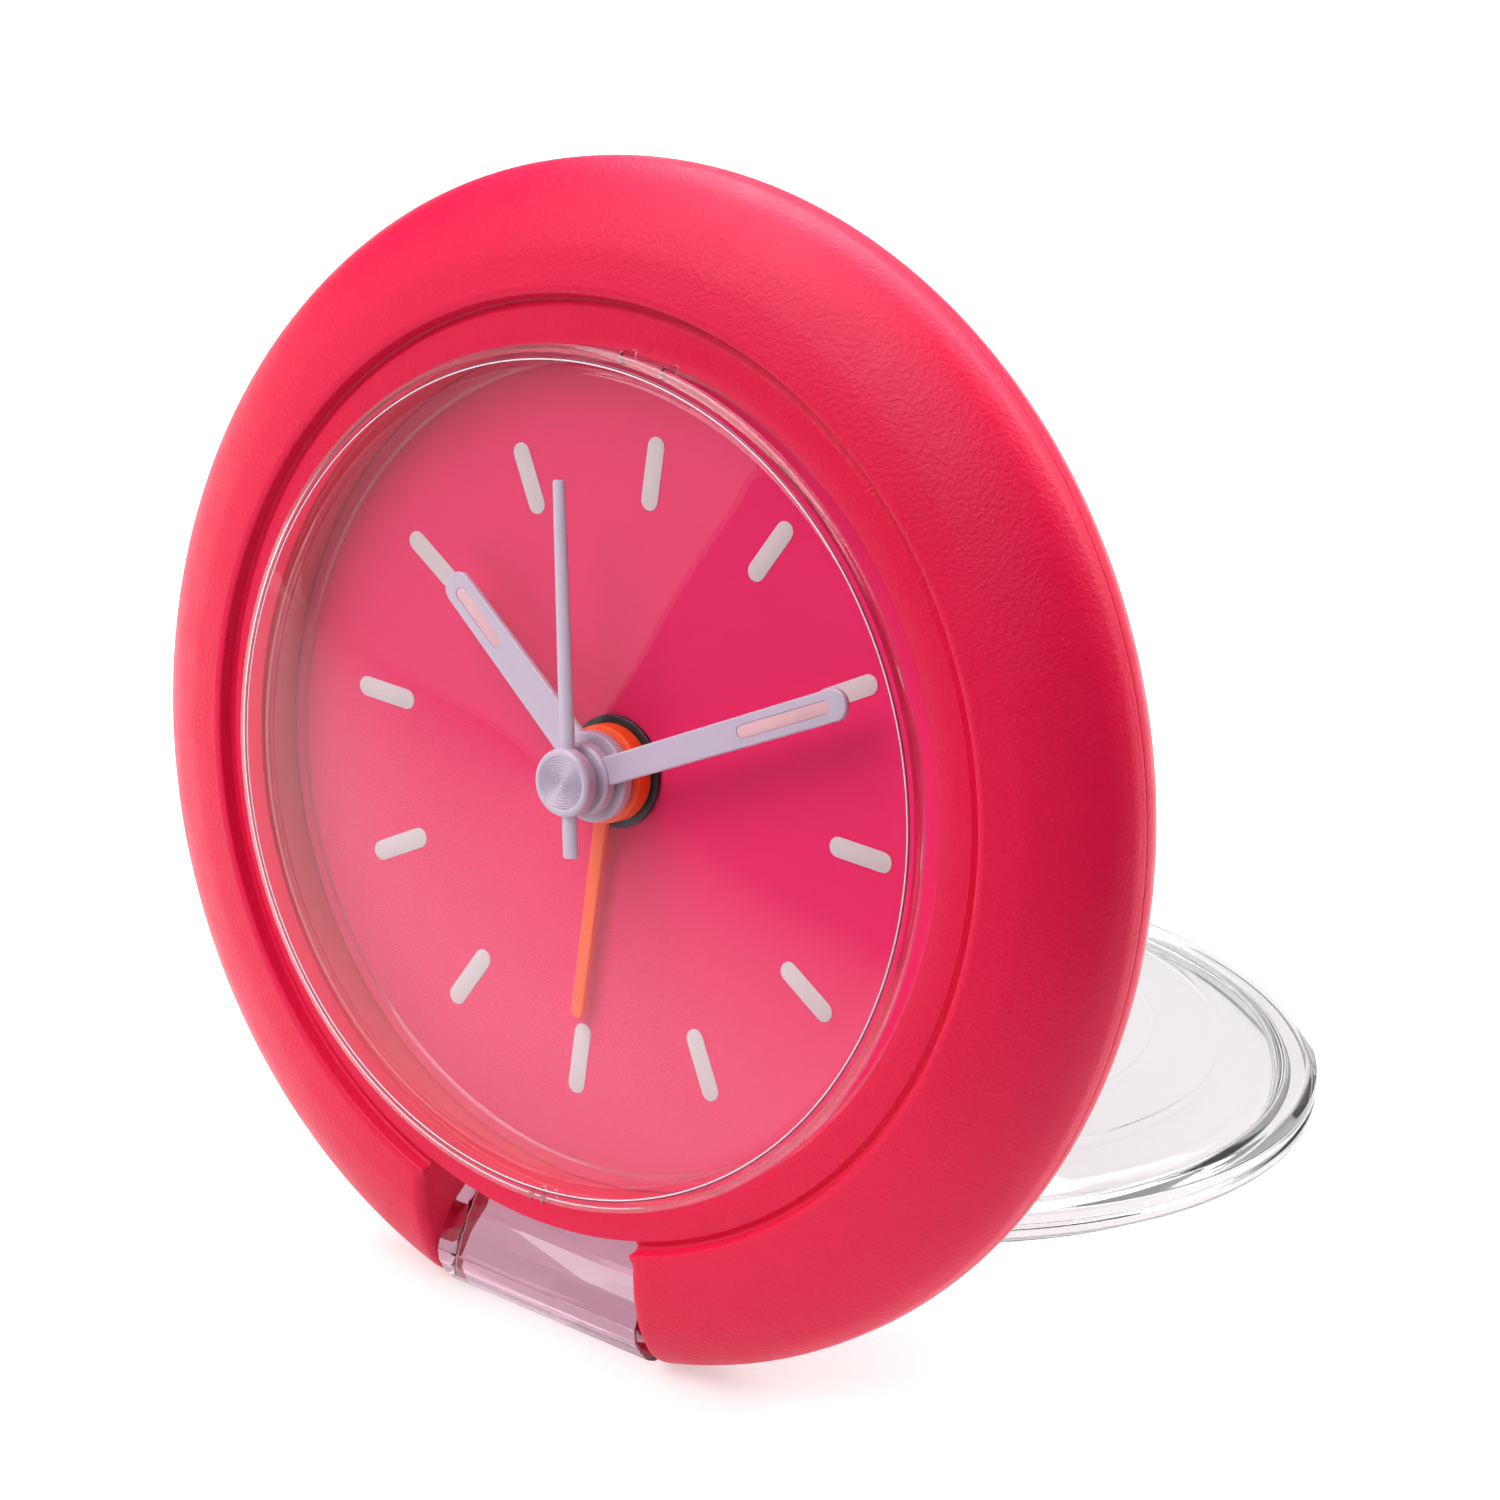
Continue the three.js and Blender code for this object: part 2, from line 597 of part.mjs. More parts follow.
piece("contact_minus", contactMinus, "brass");
piece("contact_plus", box(batteryX - 2, batteryX + 2.5, contactY, contactY + 0.25, -14.2, -10), "brass");
piece("alarm_contact", box(-4.4, 7.4, -10.7, -10.1, -14.2, -13.4), "brass");

const door = cut(
  join(
    cylinder(DOOR_R - 0.2, DRUM_N + 0.2, DRUM_N + 1.7, BATTERY_AT, 32),
    cylinder(DOOR_R - 1.2, DRUM_N + 0.2, DRUM_N + 2.1, BATTERY_AT, 32)
  ),
  box(batteryX - 4.5, batteryX + 4.5, batteryY - 0.6, batteryY + 0.6, -20, DRUM_N + 1)
);
piece("battery_door", door, "pink");

// The switch is drawn at the off end of its travel.
const switchX = -SWITCH_TRAVEL / 2;
const switchBox = (x, halfX, halfY, z0, z1) =>
  box(x - halfX, x + halfX, SWITCH_Y - halfY, SWITCH_Y + halfY, z0, z1);
const alarmSwitch = join(
  switchBox(switchX, 1.8, 0.6, DRUM_N - 1.1, -15.8),
  switchBox(switchX, 2.6, 1.6, -16.4, -15.7),
  ...[-1, 0, 1].map((i) => switchBox(switchX + i, 0.25, 0.6, DRUM_N - 1.4, -17))
);
piece("alarm_switch", alarmSwitch, "black");

// Lid ------------------------------------------------------------------------------------------

// Section of the hinge block and arm, shut, from the rim outwards and round under the case.
const ARM = [
  [-29.7, 4.2],
  [-29.7, 5],
  [-31.3, 4.85],
  [-33.4, 3.6],
  [-35.4, 2.05],
  [-36.7, 0.95],
  [-37.6, -0.4],
  [-38.05, -2],
  [-37.85, -2.95],
  [-37.1, -4.05],
  [-36.3, -4.85],
  [-35.5, -5.2],
  [-34.4, -5],
  [-33.6, -4.4],
  [-33.2, -3.2],
  [-33.1, -1.2],
  [-32.4, 0.6],
  [-31, 1.3],
  [-31, 4.2],
];
function lidSolid() {
  const disc = turned([
    [0, LID_TOP_N - LID_WALL],
    [14, LID_TOP_N - LID_WALL - 0.35],
    [24, LID_TOP_N - LID_WALL - 1],
    [LID_INNER_R - 0.5, LID_EDGE_N - 0.6],
    [LID_INNER_R, LID_EDGE_N - 1.1],
    [LID_INNER_R, LID_LIP_N],
    [LID_R - 1, LID_LIP_N],
    [LID_R - 1, LID_SEAT_N],
    [LID_R, LID_SEAT_N],
    [LID_R, LID_EDGE_N - 0.8],
    [LID_R - 0.5, LID_EDGE_N - 0.1],
    [LID_R - 1.3, LID_EDGE_N],
    [24, LID_TOP_N - 1.15],
    [14, LID_TOP_N - 0.4],
    [0, LID_TOP_N],
  ]);
  const half = NOTCH_HALF - 0.3;
  const arm = section(ARM, half);
  const bores = [-1, 1].map((side) => {
    const ends = [side * (half - 2), side * (half + 1)];
    return crossCylinder(PEG_R + 0.1, Math.min(...ends), Math.max(...ends), HINGE_Y, HINGE_Z);
  });
  return cut(join(disc, arm), ...bores).translate([0, -HINGE_Y, -HINGE_Z]);
}

const lidTurn = new THREE.Group();
lidTurn.position.set(0, HINGE_Y, HINGE_Z);
lidTurn.rotation.x = LID_TURN;
face.add(lidTurn);
piece("lid", lidSolid(), "clear", lidTurn);

// Stand the clock on the table, with the origin under the middle of its bounding box.
const bounds = new THREE.Box3().setFromObject(clock, true);
const middle = bounds.getCenter(new THREE.Vector3());
face.position.set(-middle.x, -middle.y, -bounds.min.z);

export default clock;
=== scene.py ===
"""Looks of the travel alarm clock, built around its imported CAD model.

Shapes are drawn in millimetres in the face frame and set in place by a matrix:
x to the right along the dial, y up the dial towards 12, z out of the dial to the viewer.
The lid is drawn shut on the face, and the LID matrix swings it to where it props the clock.
"""

import json
import math

import bmesh
import bpy
from mathutils import Matrix, Vector


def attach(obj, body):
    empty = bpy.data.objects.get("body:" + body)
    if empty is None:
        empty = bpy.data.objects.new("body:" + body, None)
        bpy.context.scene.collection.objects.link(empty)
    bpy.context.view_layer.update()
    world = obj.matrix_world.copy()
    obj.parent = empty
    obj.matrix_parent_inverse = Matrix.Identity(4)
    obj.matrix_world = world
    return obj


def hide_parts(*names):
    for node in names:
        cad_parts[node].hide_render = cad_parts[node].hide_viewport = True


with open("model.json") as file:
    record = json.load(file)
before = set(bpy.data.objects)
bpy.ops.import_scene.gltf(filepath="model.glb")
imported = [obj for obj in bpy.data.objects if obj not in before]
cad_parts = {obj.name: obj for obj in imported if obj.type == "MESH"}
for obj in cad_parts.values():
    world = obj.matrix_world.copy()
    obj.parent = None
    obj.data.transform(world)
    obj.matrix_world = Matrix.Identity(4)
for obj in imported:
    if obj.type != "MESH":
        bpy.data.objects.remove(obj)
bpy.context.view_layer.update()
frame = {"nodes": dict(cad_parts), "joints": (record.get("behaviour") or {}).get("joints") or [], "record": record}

# ---- frames and driving dimensions ----------------------------------------------------------

MM = 0.001
JOINTS = {joint["name"]: joint for joint in frame["joints"]}

OUT = -Vector(JOINTS["second_spin"]["axis"]).normalized()
RIGHT = Vector((1, 0, 0))
UP = OUT.cross(RIGHT)
CENTRE = Matrix.Translation(Vector(JOINTS["second_spin"]["pos_m"]))
FACE = CENTRE @ Matrix((RIGHT, UP, OUT)).transposed().to_4x4()


def on_face(joint):
    """A joint's place in the face frame, in millimetres."""
    return FACE.inverted() @ Vector(JOINTS[joint]["pos_m"]) / MM


HINGE = on_face("lid_hinge")
LID_TURN = math.radians(-JOINTS["lid_hinge"]["range_deg"][0])
SWING = Matrix.Rotation(LID_TURN, 4, "X")
LID = FACE @ Matrix.Translation(HINGE * MM) @ SWING @ Matrix.Translation(-HINGE * MM)

SEGMENTS = 256

# In millimetres. Names in _R are radii, and names in _N are heights z in the face frame.
RING_R = 40  # outside of the ring
FLOOR_N = 3.05  # recess floor around the crystal
LIP_R = 31.5  # step from the recess up to the band
LIP_N = 3.7
COLLAR_R = 30.65
BORE_R = 28.2
COLLAR_FOOT_N = -2.1
PARTING_N = -2.2
SEAM = 0.03  # gap between front ring and rear case
FLANGE_N = -5.8
FLANGE_R = 36.3
DRUM_N = -18.3
DRUM_WALL = 1.5
DIAL_N = -0.4
DIAL_R = 28.1
NOTCH_HALF = 9
CHEEK = 1.6
BAY_Y = -26.6  # inner end of the hinge bay behind the ring
PEG_R = 1.1

HAND_ANGLES = {"second": 349, "minute": 61.9, "hour": 305.5, "alarm": 180}

# ---- mesh helpers ---------------------------------------------------------------------------


def rounded(corners, steps=5):
    """A line of (a, b) points in which each corner given as (a, b, radius) becomes an arc."""
    points = []
    count = len(corners)
    for index, corner in enumerate(corners):
        here = Vector(corner[:2])
        radius = corner[2] if len(corner) > 2 else 0
        if not radius:
            points.append(tuple(here))
            continue
        before = (Vector(corners[index - 1][:2]) - here).normalized()
        after = (Vector(corners[(index + 1) % count][:2]) - here).normalized()
        half = before.angle(after) / 2
        centre = here + (before + after).normalized() * radius / math.sin(half)
        start = here + before * radius / math.tan(half) - centre
        end = here + after * radius / math.tan(half) - centre
        turn = start.angle_signed(end)
        for step in range(steps + 1):
            angle = -turn * step / steps
            points.append(tuple(centre + Matrix.Rotation(angle, 2) @ start))
    return points


def spline(knots, steps=6):
    """A smooth line through the knots."""
    padded = [Vector(k) for k in (knots[0], *knots, knots[-1])]
    points = []
    for p0, p1, p2, p3 in zip(padded, padded[1:], padded[2:], padded[3:]):
        for step in range(steps):
            t = step / steps
            linear = (p2 - p0) * t
            square = (2 * p0 - 5 * p1 + 4 * p2 - p3) * t ** 2
            cube = (3 * p1 - p0 - 3 * p2 + p3) * t ** 3
            points.append(tuple(0.5 * (2 * p1 + linear + square + cube)))
    return points + [tuple(knots[-1])]


def capsule(half, y0, y1, steps=8, tip_half=None):
    """A bar along y with a half-round tip and a half-round foot."""
    tip = tip_half or half
    arc = [math.pi * k / steps for k in range(steps + 1)]
    top = [(tip * math.cos(a), y1 - tip + tip * math.sin(a)) for a in arc]
    foot = [(-half * math.cos(a), y0 + half - half * math.sin(a)) for a in arc]
    return top + foot


def circle(radius, count=48, centre=(0, 0)):
    turn = 2 * math.pi / count
    return [
        (centre[0] + radius * math.cos(k * turn), centre[1] + radius * math.sin(k * turn))
        for k in range(count)
    ]


def bridge(bm, lower, upper):
    """Joins two rings of vertices, either of which may be a single point."""
    count = max(len(lower), len(upper))
    for k in range(count):
        after = (k + 1) % count
        corners = [
            lower[k % len(lower)],
            lower[after % len(lower)],
            upper[after % len(upper)],
            upper[k % len(upper)],
        ]
        unique = list(dict.fromkeys(corners))
        if len(unique) > 2:
            bm.faces.new(unique)


def lathe(profile, segments=SEGMENTS, centre=(0, 0), ring=False):
    """A profile of (radius, z) points turned about z. A ring's profile closes on itself."""
    bm = bmesh.new()
    rings = []
    for radius, z in profile:
        if radius < 1e-6:
            rings.append([bm.verts.new((*centre, z))])
        else:
            rings.append([bm.verts.new((x, y, z)) for x, y in circle(radius, segments, centre)])
    for lower, upper in zip(rings, rings[1:] + (rings[:1] if ring else [])):
        bridge(bm, lower, upper)
    bmesh.ops.recalc_face_normals(bm, faces=bm.faces)
    return bm


def prism(outline, low, high, edge=0.0, steps=3):
    """An outline of (x, y) points raised from low to high, with its rims rounded."""
    bm = bmesh.new()
    bottom = [bm.verts.new((x, y, low)) for x, y in outline]
    top = [bm.verts.new((x, y, high)) for x, y in outline]
    bm.faces.new(bottom[::-1])
    bm.faces.new(top)
    bridge(bm, bottom, top)
    bmesh.ops.recalc_face_normals(bm, faces=bm.faces)
    if edge:
        rims = [e for e in bm.edges if abs(e.verts[0].co.z - e.verts[1].co.z) < 1e-6]
        bmesh.ops.bevel(bm, geom=rims, offset=edge, segments=steps, affect="EDGES", profile=0.5)
    return bm


def block(x0, x1, y0, y1, z0, z1, edge=0.0):
    return prism([(x0, y0), (x1, y0), (x1, y1), (x0, y1)], z0, z1, edge)


def across(bm):
    """Turns a prism drawn in (y, z) and raised along x into place."""
    swap = Matrix(((0, 0, 1, 0), (1, 0, 0, 0), (0, 1, 0, 0), (0, 0, 0, 1)))
    bmesh.ops.transform(bm, matrix=swap, verts=bm.verts)
    return bm


def together(*parts):
    """One bmesh holding several closed shells."""
    whole = bmesh.new()
    for part in parts:
        mesh = bpy.data.meshes.new("part")
        part.to_mesh(mesh)
        part.free()
        whole.from_mesh(mesh)
        bpy.data.meshes.remove(mesh)
    return whole


def boolean(target, tools, operation="DIFFERENCE"):
    """The target with each tool cut away from it, or joined to it."""
    objects = []
    for bm in (target, *tools):
        bmesh.ops.recalc_face_normals(bm, faces=bm.faces)
        mesh = bpy.data.meshes.new("solid")
        bm.to_mesh(mesh)
        bm.free()
        objects.append(bpy.data.objects.new("solid", mesh))
        bpy.context.scene.collection.objects.link(objects[-1])
    for tool in objects[1:]:
        modifier = objects[0].modifiers.new("cut", "BOOLEAN")
        modifier.operation = operation
        modifier.solver = "EXACT"
        modifier.object = tool
    graph = bpy.context.evaluated_depsgraph_get()
    result = bmesh.new()
    mesh = bpy.data.meshes.new_from_object(objects[0].evaluated_get(graph))
    result.from_mesh(mesh)
    bpy.data.meshes.remove(mesh)
    for made in objects:
        data = made.data
        bpy.data.objects.remove(made)
        bpy.data.meshes.remove(data)
    return result


def piece(name, bm, look, body, replaced=(), place=FACE, crease=32):
    """Makes an object of a bmesh in millimetres, rides it on a body and gives it its look."""
    bmesh.ops.scale(bm, vec=(MM, MM, MM), verts=bm.verts)
    mesh = bpy.data.meshes.new(name)
    bm.to_mesh(mesh)
    bm.free()
    mesh.polygons.foreach_set("use_smooth", [True] * len(mesh.polygons))
    mesh.set_sharp_from_angle(angle=math.radians(crease))
    mesh.materials.append(look)
    made = bpy.data.objects.new(name, mesh)
    bpy.context.scene.collection.objects.link(made)
    made.matrix_world = place
    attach(made, body)
    if replaced:
        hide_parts(*replaced)
    return made


# ---- camera ---------------------------------------------------------------------------------

CAMERA_AT = Vector((188.24, 90.24, 249.43))  # in the face frame
CAMERA_AIM = Vector((10.74, 4.44, 0))
CAMERA_ROLL = math.radians(-0.65)
CAMERA_LENS = 119.35


def aimed(place, target, roll=0.0):
    """A matrix at a place whose -Z points to the target."""
    turn = (target - place).to_track_quat("-Z", "Y").to_matrix() @ Matrix.Rotation(roll, 3, "Z")
    return Matrix.Translation(place) @ turn.to_4x4()


camera_data = bpy.data.cameras.new("camera")
camera_data.lens = CAMERA_LENS
camera_data.sensor_width = 36
camera_data.clip_start = 0.01
camera = bpy.data.objects.new("camera", camera_data)
camera.matrix_world = aimed(FACE @ (CAMERA_AT * MM), FACE @ (CAMERA_AIM * MM), CAMERA_ROLL)
bpy.context.scene.collection.objects.link(camera)
bpy.context.scene.camera = camera

# ---- materials ------------------------------------------------------------------------------


def add(tree, kind, settings=None, **inputs):
    """Adds a shader node. An input is a value or a socket to link; Base_Color means "Base Color"."""
    made = tree.nodes.new("ShaderNode" + kind)
    for key, value in (settings or {}).items():
        setattr(made, key, value)
    for key, value in inputs.items():
        feed(tree, made.inputs[key.replace("_", " ")], value)
    return made


def feed(tree, socket, value):
    if isinstance(value, bpy.types.NodeSocket):
        tree.links.new(value, socket)
    else:
        socket.default_value = value


def maths(tree, operation, *values):
    made = tree.nodes.new("ShaderNodeMath")
    made.operation = operation
    for socket, value in zip(made.inputs, values):
        feed(tree, socket, value)
    return made.outputs[0]


def millimetres(tree, stretch=(1, 1, 1)):
    coordinates = add(tree, "TexCoord")
    scale = [s / MM for s in stretch]
    mapped = add(tree, "Mapping", Vector=coordinates.outputs["Object"], Scale=scale)
    return mapped.outputs[0]


def spread(tree, value, low, high, from_low=0.3, from_high=0.7):
    """Maps a noise value to the range low..high."""
    inputs = {"From Min": from_low, "From Max": from_high, "To Min": low, "To Max": high}
    made = add(tree, "MapRange", Value=value)
    for key, number in inputs.items():
        made.inputs[key].default_value = number
    return made.outputs[0]


def noise(tree, where, size, detail=2.0, distortion=0.0):
    """Noise whose lumps are about `size` millimetres across."""
    made = add(tree, "TexNoise", Vector=where, Scale=1 / size, Detail=detail, Distortion=distortion)
    return made.outputs["Fac"]


def principled(name):
    material = bpy.data.materials.new(name)
    material.use_nodes = True
    return material, material.node_tree, material.node_tree.nodes["Principled BSDF"]


def tinted(tree, colour, amount, factor):
    """A colour that varies by `amount` about its own value as factor goes from 0 to 1."""
    dark = (*(c * (1 - amount) for c in colour), 1)
    light = (*(min(1, c * (1 + amount)) for c in colour), 1)
    made = tree.nodes.new("ShaderNodeMix")
    made.data_type = "RGBA"
    feed(tree, made.inputs["Factor"], factor)
    made.inputs[6].default_value = dark
    made.inputs[7].default_value = light
    return made.outputs[2]


def plastic(name, colour, roughness=0.4, grain=0.3, depth=0.006, mottle=0.03, specular=0.5, **more):
    """Moulded plastic: a grain `grain` mm across and `depth` mm deep, with soft patches of tone."""
    material, tree, shader = principled(name)
    where = millimetres(tree)
    patches = noise(tree, where, 9, 3)
    feed(tree, shader.inputs["Base Color"], tinted(tree, colour, mottle, spread(tree, patches, 0, 1)))
    finish = spread(tree, noise(tree, where, 2.5), roughness - 0.04, roughness + 0.04)
    feed(tree, shader.inputs["Roughness"], finish)
    grains = noise(tree, where, grain, 3, 0.4)
    bump = add(tree, "Bump", Height=grains, Strength=1.0, Distance=depth * MM)
    feed(tree, shader.inputs["Normal"], bump.outputs[0])
    shader.inputs["Specular IOR Level"].default_value = specular
    for key, value in more.items():
        shader.inputs[key.replace("_", " ")].default_value = value
    return material


def clear(name, colour, shade, bend=1.49, roughness=0.015):
    """Clear moulded plastic. Rays from lamps and from lit surfaces pass it, dimmed by `shade`.

    With a bend of 1 it lets the view straight through and only its polish shows.
    """
    material, tree, shader = principled(name)
    where = millimetres(tree)
    shader.inputs["Base Color"].default_value = (*colour, 1)
    shader.inputs["Transmission Weight"].default_value = 1
    shader.inputs["IOR"].default_value = bend
    if bend == 1:
        shader.inputs["Coat Weight"].default_value = 0.75
        shader.inputs["Coat IOR"].default_value = 1.49
        shader.inputs["Coat Roughness"].default_value = roughness
    scuffs = noise(tree, millimetres(tree, (1, 0.15, 1)), 0.5, 2)
    feed(tree, shader.inputs["Roughness"], spread(tree, scuffs, roughness, roughness + 0.03, 0.55, 0.8))
    bump = add(tree, "Bump", Height=noise(tree, where, 14, 2), Strength=1.0, Distance=0.02 * MM)
    feed(tree, shader.inputs["Normal"], bump.outputs[0])
    path = add(tree, "LightPath")
    soft = maths(tree, "MAXIMUM", path.outputs["Is Shadow Ray"], path.outputs["Is Diffuse Ray"])
    passing = add(tree, "BsdfTransparent", Color=(*shade, 1))
    mixed = add(tree, "MixShader", Fac=soft)
    tree.links.new(shader.outputs[0], mixed.inputs[1])
    tree.links.new(passing.outputs[0], mixed.inputs[2])
    tree.links.new(mixed.outputs[0], tree.nodes["Material Output"].inputs["Surface"])
    return material


def metal(name, colour, roughness=0.3, stretch=(1, 12, 1), scratch=0.002):
    """Plated or brushed metal with fine lines along one direction."""
    material, tree, shader = principled(name)
    lines = noise(tree, millimetres(tree, stretch), 0.5, 4)
    patches = noise(tree, millimetres(tree), 4, 3)
    feed(tree, shader.inputs["Base Color"], tinted(tree, colour, 0.08, spread(tree, patches, 0, 1)))
    feed(tree, shader.inputs["Roughness"], spread(tree, lines, roughness - 0.08, roughness + 0.1))
    shader.inputs["Metallic"].default_value = 1
    bump = add(tree, "Bump", Height=lines, Strength=1.0, Distance=scratch * MM)
    feed(tree, shader.inputs["Normal"], bump.outputs[0])
    return material


SOFT_PINK = (0.69, 0.005, 0.05)
DIAL_PINK = (0.76, 0.020, 0.122)
LILAC = (0.53, 0.437, 0.555)
ORANGE = (0.93, 0.085, 0.003)

LOOKS = {
    "case": plastic("soft_touch_pink", SOFT_PINK, 0.42, 0.3, 0.05, 0.02, 0.27, Specular_Tint=(1, 0.84, 1, 1)),
    "dial": plastic("dial_pink", DIAL_PINK, 0.6, 0.13, 0.0005, 0.015, 0.12),
    "marker": plastic("marker_print", (0.61, 0.51, 0.525), 0.6, 0.12, 0.003, 0.03, 0.3),
    "hand": plastic("lilac_plastic", LILAC, 0.36, 0.5, 0.004, 0.02, 0.5),
    "lume": plastic("lume_paint", (0.72, 0.42, 0.46), 0.7, 0.15, 0.01, 0.08, 0.3),
    "orange": plastic("orange_plastic", ORANGE, 0.42, 0.4, 0.004, 0.03, 0.5),
    "black": plastic("black_plastic", (0.012, 0.011, 0.013), 0.42, 0.2, 0.006, 0.1, 0.5),
    # Whitish plastic for a thin ring on the crystal's front edge: a painted highlight where light catches the
    # edge.
    "painted_highlight": plastic("painted_highlight_line", (0.85, 0.74, 0.79), 0.3, 0.3, 0.001, 0.02, 0.5),
    # Dark plastic for a thin ring beside the crystal's bright edge: painted shade.
    "shade": plastic("painted_shade_line", (0.22, 0.02, 0.06), 0.3, 0.3, 0.001, 0.02, 0.5),
    "white": plastic("white_nylon", (0.74, 0.72, 0.66), 0.45, 0.4, 0.004, 0.03, 0.5),
    "board": plastic("solder_mask", (0.01, 0.12, 0.05), 0.35, 0.6, 0.01, 0.25, 0.5),
    "crystal": clear("crystal_clear", (1.0, 0.99, 0.995), (0.98, 0.97, 0.975), 1),
    # The crystal's edge rings are clear plastic tinted pink: the tint is painted, standing in for the pink case
    # seen through the edge.
    "rim": clear("crystal_edge_painted_refraction", (0.86, 0.62, 0.71), (0.98, 0.97, 0.975), roughness=0.1),
    # The lid's grey tint is partly the plastic's own absorption and partly painted shade of the floor seen through
    # it.
    "lid": clear("lid_clear_tint_and_painted_shade", (0.72, 0.72, 0.725), (0.88, 0.88, 0.885), roughness=0.04),
    # The hinge block is the lid's clear plastic; its pink-lilac tint is painted shade of the floor and case seen
    # through it.
    "arm": clear("arm_clear_painted_shade", (0.62, 0.37, 0.48), (0.9, 0.84, 0.88)),
    "steel": metal("plated_steel", (0.62, 0.63, 0.65), 0.28),
    "brass": metal("brass", (0.72, 0.50, 0.21), 0.32),
    "copper": metal("copper_wire", (0.62, 0.25, 0.10), 0.35, (0.1, 8, 8), 0.02),
}

# ---- case -----------------------------------------------------------------------------------

BAND_START = (31.95, LIP_N)
BAND = spline([
    BAND_START,
    (33.5, 3.36),
    (35, 2.9),
    (37.2, 1.85),
    (39, 0.45),
    (39.85, -0.9),
    (RING_R, -1.8),
], 7)
REAR_STEPS = 5
REAR_EDGE = spline([
    (RING_R, -2.6),
    (39.85, -3.3),
    (39.2, -4.5),
    (38, -5.4),
    (FLANGE_R, FLANGE_N),
], REAR_STEPS)
SHELL_R = 30.4  # inside of the ring's shell, sunk into the collar
SHELL_FOOT = (38.4, PARTING_N)


def ring_sections():
    """The ring's outline as (radius, z): its shown side, and its hidden sides by shell and cheek."""
    step = rounded([(COLLAR_R, FLOOR_N), (31.2, FLOOR_N - 0.45, 0.22), (LIP_R, 3.64, 0.16), BAND_START])
    foot = rounded([BAND[-1], (RING_R, PARTING_N, 0.04), (39, PARTING_N)])
    shown = step[:-1] + BAND + foot[1:-1]
    top = (SHELL_R, FLOOR_N - 0.15)
    shell = [SHELL_FOOT, (38.1, -1.2), (36.4, 0.3), (34, 1.3), (SHELL_R, 1.6), top]
    cheek = [*REAR_EDGE[REAR_STEPS::REAR_STEPS], (SHELL_R, FLANGE_N), top]
    return shown, shell, cheek


def outward(points, index):
    """The direction out of a clockwise line at a point."""
    before = Vector(points[max(index - 1, 0)])
    after = Vector(points[min(index + 1, len(points) - 1)])
    along = (after - before).normalized()
    return Vector((-along.y, along.x))


def notched_ring():
    """The ring swept from one side of the hinge notch to the other, its ends flat and rounded."""
    shown, shell, cheek = ring_sections()
    normals = [outward(shown, k) for k in range(len(shown))]
    bm = bmesh.new()
    around = 220
    rounding = 0.9
    rim_steps = 6

    def section(distance, fraction, hidden):
        """Vertices at a distance in from the notch wall, or a fraction of the way round."""
        ring = []
        sink = 0.0
        if distance < rounding:
            sink = rounding - math.sqrt(rounding ** 2 - (rounding - distance) ** 2)
        line = []
        for k, (radius, z) in enumerate(shown):
            inset = sink * min(1, max(0, (radius - LIP_R) / 0.8))
            line.append((radius - inset * normals[k].x, z - inset * normals[k].y))
        for radius, z in line + hidden:
            start = math.asin((NOTCH_HALF + distance) / radius)
            angle = start + fraction * (2 * math.pi - 2 * start)
            ring.append(bm.verts.new((radius * math.sin(angle), -radius * math.cos(angle), z)))
        return ring

    edge = [rounding * (1 - math.cos(math.pi / 2 * k / rim_steps)) for k in range(rim_steps + 1)]
    first = [section(d, 0, cheek) for d in edge] + [section(CHEEK, 0, cheek)]
    middle = [section(CHEEK, k / around, shell) for k in range(around + 1)]
    last = [section(CHEEK, 1, cheek)] + [section(d, 1, cheek) for d in reversed(edge)]
    rings = first + middle + last
    for lower, upper in zip(rings, rings[1:]):
        bridge(bm, lower, upper)
    bm.faces.new(rings[0])
    bm.faces.new(rings[-1])
    bmesh.ops.remove_doubles(bm, verts=bm.verts, dist=1e-5)
    bmesh.ops.recalc_face_normals(bm, faces=bm.faces)
    return bm


def collar():
    """The ring of wall around the crystal, inside the hinge notch."""
    profile = rounded([
        (BORE_R, FLOOR_N, 0.1),
        (COLLAR_R, FLOOR_N, 0.02),
        (COLLAR_R, COLLAR_FOOT_N),
        (BORE_R, COLLAR_FOOT_N),
    ], 3)
    return lathe(profile, SEGMENTS, ring=True)


def hinge_pegs():
    pegs = []
    for side in (-1, 1):
        inner, outer = sorted((side * (NOTCH_HALF - 0.7), side * (NOTCH_HALF + 0.5)))
        pegs.append(across(prism(circle(PEG_R, 32, HINGE[1:]), inner, outer, 0.15)))
    return pegs


def notch_cheeks():
    """Walls that close the case off on both sides of the hinge notch."""
    inner, outer = NOTCH_HALF + 0.05, NOTCH_HALF + 3.3
    cheeks = []
    for side in (-1, 1):
        near, far = sorted((side * inner, side * outer))
        cheeks.append(block(near, far, -31, BAY_Y + 0.2, FLANGE_N + 0.1, -2))
    return cheeks


ring_case = together(notched_ring(), collar(), *hinge_pegs(), *notch_cheeks())
piece("ring_case", ring_case, LOOKS["case"], "case", ["front_ring"])

SCREW_R = 34
SCREW_ANGLES = [math.radians(a) for a in (50, 130, 230, 310)]
SCREW_PLACES = [(SCREW_R * math.cos(a), SCREW_R * math.sin(a)) for a in SCREW_ANGLES]
TIME_KNOB = on_face("time_knob_spin")[:2]
ALARM_KNOB = on_face("alarm_knob_spin")[:2]
BATTERY = on_face("battery_door_turn")[:2]
DOOR_R = 7
SOUNDER = (8.5, 10.5)
SWITCH_Y = -13.3


def countersunk(radius, place, depth, chamfer=0.3, count=48):
    """A cutter for a hole in the drum's back, with a chamfered mouth."""
    profile = [
        (0, DRUM_N - 1),
        (radius + chamfer + 1, DRUM_N - 1),
        (radius, DRUM_N + chamfer),
        (radius, DRUM_N + depth),
        (0, DRUM_N + depth),
    ]
    return lathe(profile, count, place)


